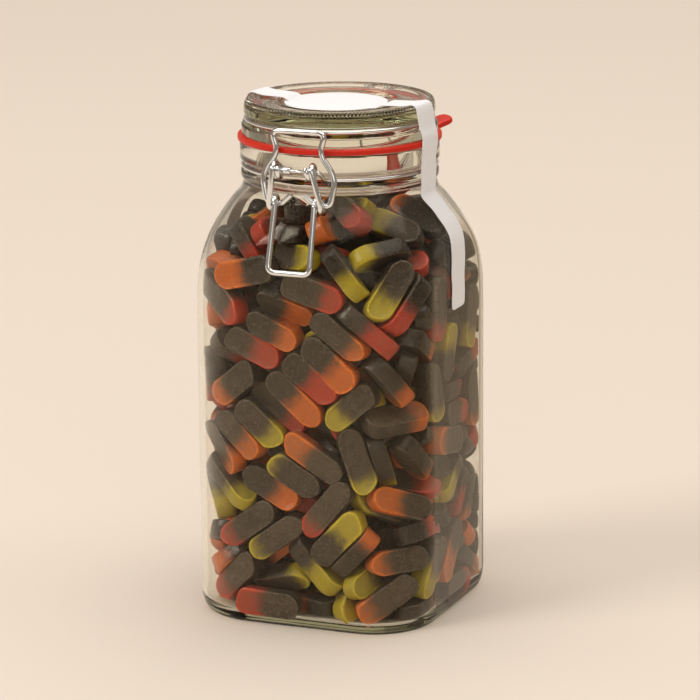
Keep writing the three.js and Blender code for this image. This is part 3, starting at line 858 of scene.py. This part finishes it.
neck_ring_radius = groove_radius + 0.3 + ring_wire
clip_middle, leave = -1.6, 16.2
groove_height = 231.9
arc_from = -math.acos((clip_middle + leave) / neck_ring_radius)
arc_to = math.pi + math.acos((leave - clip_middle) / neck_ring_radius)
ring_arc = [(neck_ring_radius * math.cos(a), neck_ring_radius * math.sin(a), groove_height)
            for a in np.linspace(arc_from, arc_to, 140)]


def kink(side, end_x):
    x = clip_middle + side * leave
    return bent([(end_x, pivot_y, pivot_z), (clip_middle + side * 13.3, pivot_y, pivot_z, 1.2),
                 (clip_middle + side * 14.2, -51.4, 232.9, 2),
                 (x, -math.sqrt(neck_ring_radius**2 - x * x), groove_height)])


def crimp(p):
    return float(np.clip(1.4 - abs(p[0] - 2.2) / 1.6, 0, 1)) if p[1] < -55 else 0.0


sleeve_middle = -5.75
crimped = [(x, pivot_y, pivot_z) for x in np.arange(sleeve_middle, 7.5, 0.4)]
neck_path = [*crimped, *kink(1, 8)[1:-1], *ring_arc, *kink(-1, sleeve_middle)[::-1][1:]]
loop_root = math.sqrt(neck_ring_radius**2 - 100)
loop_side = [(10, loop_root, groove_height), (10, 54, 232.3, 2.5), (10, 57.6, 237, 3),
             (10, hinge_y, hinge_z, 2.2)]
loop = bent([*loop_side, *[(-c[0], *c[1:]) for c in loop_side[::-1]]])
sleeve_rings = rounded([(0.9, -2.15), (1.95, -2.15), (1.95, 2.15), (0.9, 2.15)], 0.35)
sleeve_points, sleeve_faces = skin(turned(*zip(*sleeve_rings), 24), (0, 0, -2.15), (0, 0, 2.15))
sleeve_points = sleeve_points[:, [2, 0, 1]] + (sleeve_middle, pivot_y, pivot_z)
neck_ring = wire("neck_wire", [neck_path, loop], ring_wire, ring_steel, squash=crimp)
sleeve = solid("wire_sleeve", sleeve_points, sleeve_faces, ring_steel, 60)
for piece in (neck_ring, sleeve):
    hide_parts("neck_ring")
    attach(piece, "jar")

lid_ring_radius = 46.6 + 0.3 + ring_wire
lid_ring_height = 255.8
wire_hoop = [(lid_ring_radius * math.cos(a), lid_ring_radius * math.sin(a), lid_ring_height)
             for a in np.linspace(0, 2 * math.pi, 161)]


def curl(x):
    lead = bent([(x, math.sqrt(lid_ring_radius**2 - x * x), lid_ring_height),
                 (x, 53.4, lid_ring_height, 3), (x, 55.6, hinge_z + 2.8, 1),
                 (x, hinge_y, hinge_z + 2.5)])[:-1]
    return [*lead, *coil(hinge_y, hinge_z, 2.5, x, x, 90, 378)]


lid_ring = wire("lid_wire", [wire_hoop, curl(-5.5), curl(5.5)], ring_wire, ring_steel)
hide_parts("lid_ring")
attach(lid_ring, "lid")

bail_half = bent([(0, -52, 256.4), (15, -52, 256.4, 4.6), (11.0, -53.1, 246.6, 11),
                  (20.0, -55, 234.6, 13), (17.0, hub_y, hub_z, 3.2), (8.9, hub_y, hub_z, 1.6),
                  (3.5, hub_y - 0.3, 225.4)])[1:]
bail_path = leaned([*mirrored(bail_half), *bail_half], 1.3, hub_z, 0.06)
bail = wire("bail_wire", [bail_path], clip_wire, clip_steel, 20)
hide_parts("bail")
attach(bail, "bail")

hub_coil = 3.35
lever_half = [
    *bent([(0, -70, 187.8), (11.3, -70, 187.8, 4), (10.6, hub_y - hub_coil, hub_z, 4),
           (10.6, hub_y - hub_coil, hub_z + 1)])[1:-1],
    *coil(hub_y, hub_z, hub_coil, 10.6, 13.9, 0, 360),
    *coil(pivot_y, pivot_z, 3.4, 10.8, 7.5, 0, 396),
]
lever_path = leaned([*mirrored(lever_half), *lever_half], 0.5, hub_z, 0.125)
lever = wire("lever_wire", [lever_path], clip_wire, clip_steel, 20)
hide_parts("lever")
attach(lever, "lever")

# Paper seal -----------------------------------------------------------------------------------
# A white paper band over the lid: a round label in the middle and an arm down each side, slightly
# wavy at its edges, that hangs past the gasket, lies along the shoulder and folds down the side.

seal_middle, seal_turn, paper = -1.1, -0.093, 0.3
white_paper = bpy.data.materials.new("seal paper")
white_paper.use_nodes = True
paper_shader = white_paper.node_tree.nodes["Principled BSDF"]
paper_shader.inputs["Base Color"].default_value = (0.90, 0.90, 0.93, 1)
paper_shader.inputs["Roughness"].default_value = 0.6
paper_shader.inputs["Specular IOR Level"].default_value = 0.3


def together(parts):
    points, faces, count = [], [], 0
    for part_points, part_faces in parts:
        points.append(part_points)
        faces += [tuple(i + count for i in face) for face in part_faces]
        count += len(part_points)
    return np.concatenate(points), faces


def smooth_path(corners, reach, spacing=1.0):
    """A path through (x, z) corners, each rounded by reach, in even short steps."""
    path = np.array(rounded(corners, reach))
    gone = np.concatenate([[0], np.cumsum(np.linalg.norm(np.diff(path, axis=0), axis=1))])
    even = np.linspace(0, gone[-1], int(gone[-1] / spacing) + 2)
    x, z = (np.interp(even, gone, path[:, k]) for k in (0, 1))
    return np.stack([x, z], -1), even


def round_fall(radius, y):
    """How far a round surface drops back from its front at y to the side."""
    return radius - np.sqrt(radius**2 - y**2)


def strip(path, gone, side, lie, fall, wavy, round_end=0.0, phase=0.0):
    """A band of paper across Y that follows path in X and Z, its end's corners cut round. lie gives
    its middle and half its width at a point of the path, fall how far it drops back there."""
    ahead = np.gradient(path, axis=0)
    ahead /= np.linalg.norm(ahead, axis=1)[:, None]
    out = np.stack([-ahead[:, 1], ahead[:, 0]], -1)
    shares = np.linspace(-1, 1, 13)
    layers = []
    for lift in (0, paper):
        rows = []
        for i, (p, s) in enumerate(zip(path, gone)):
            middle, half = lie(*p)
            low = half + wavy * math.sin(s / 3.1 + phase) * math.sin(s / 7.7 + 1)
            high = half + wavy * math.sin(s / 3.7 + 2 + phase) * math.sin(s / 9.1)
            left = gone[-1] - s
            if left < round_end:
                cut = round_end - math.sqrt(round_end**2 - (round_end - left) ** 2)
                low, high = low - cut, high - cut
            across = np.where(shares < 0, shares * low, shares * high) + middle
            x = p[0] + out[i][0] * lift - fall(*p, across)
            z = np.full(13, p[1]) + out[i][1] * lift
            rows.append(np.stack([x * side, across * side, z], -1))
        layers.append(np.array(rows))
    grid = np.array(layers)
    rows, wide = grid.shape[1:3]
    points = grid.reshape(-1, 3)

    def at(layer, row, i):
        return (layer * rows + row) * wide + i

    faces = []
    for row in range(rows - 1):
        for i in range(wide - 1):
            faces.append((at(1, row, i), at(1, row + 1, i),
                          at(1, row + 1, i + 1), at(1, row, i + 1)))
            faces.append((at(0, row, i), at(0, row, i + 1),
                          at(0, row + 1, i + 1), at(0, row + 1, i)))
        faces.append((at(0, row, 0), at(0, row + 1, 0), at(1, row + 1, 0), at(1, row, 0)))
        faces.append((at(0, row + 1, wide - 1), at(0, row, wide - 1),
                      at(1, row, wide - 1), at(1, row + 1, wide - 1)))
    for row in (0, rows - 1):
        for i in range(wide - 1):
            quad = (at(0, row, i), at(1, row, i), at(1, row, i + 1), at(0, row, i + 1))
            faces.append(quad if row == 0 else quad[::-1])
    return points, faces


arm_corners = [(22, 262.8), (24.6, 262.8), (28.0, 264.6), (40, 265.0), (44, 265.6), (46.6, 266.1),
               (48.8, 265.6), (49.9, 262.8), (50.4, 260), (51.2, 254.2), (52.7, 250.4),
               (52.8, 248.6)]
arm_path, arm_gone = smooth_path(arm_corners, 1.4)
label_rings = turned([26.1, 26.4, 26.4, 26.1], [262.75, 262.8, 263.05, 263.1], 96)
label = skin(label_rings, (0, 0, 262.75), (0, 0, 263.1))
label = (label[0] + (-2, 0.3, 0), label[1])


def lid_lie(side):
    return lambda x, z: (seal_middle * side + seal_turn * x,
                         float(np.interp(z, [249, 262], [7.9, 8.4])))


def lid_fall(x, z, y):
    return np.clip((x - 40) / 6.6, 0, 1) * round_fall(x, y)


right_arm = strip(arm_path, arm_gone, 1, lid_lie(1), lid_fall, 0.3)
left_arm = strip(arm_path, arm_gone, -1, lid_lie(-1), lid_fall, 0.3, phase=1.3)
seal_lid = solid("seal_label", *together([label, right_arm, left_arm]), white_paper, 40)
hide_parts("seal_lid")
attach(seal_lid, "lid")

side_corners = [(52.8, 248.55), (52.8, 244.2), (51.9, 240), (51.7, 230), (51.6, 225)]
for z in (220, 214, 206, 199):
    side_corners.append((float(body_radius(0.0, z)) + 0.6, z))
side_corners += [(65.6, 194.5), (65.6, 161.2)]
side_path, side_gone = smooth_path(side_corners, 1.6, 0.65)


def side_lie(top, foot):
    def lie(x, z):
        share = min(max((z - 193) / 36, 0), 1)
        share = share * share * (3 - 2 * share)
        return foot + (top - foot) * share, float(np.interp(z, [190, 215], [9.0, 7.9]))
    return lie


def side_fall(x, z, y):
    if z > 224:
        return round_fall(x, y)
    front = body_radius(0.0, z)
    return front - np.sqrt(body_radius(np.arctan2(y, front), z) ** 2 - y**2)


for side, node_name in ((1, "seal_right"), (-1, "seal_left")):
    top = seal_middle * side + seal_turn * 52.8
    lie = side_lie(top, -2.9 if side > 0 else top)
    shape = strip(side_path, side_gone, side, lie, side_fall, 0.55, round_end=2.6,
                  phase=0.6 * side)
    arm = solid(f"{node_name}_arm", *shape, white_paper, 40)
    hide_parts(node_name)
    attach(arm, "jar")
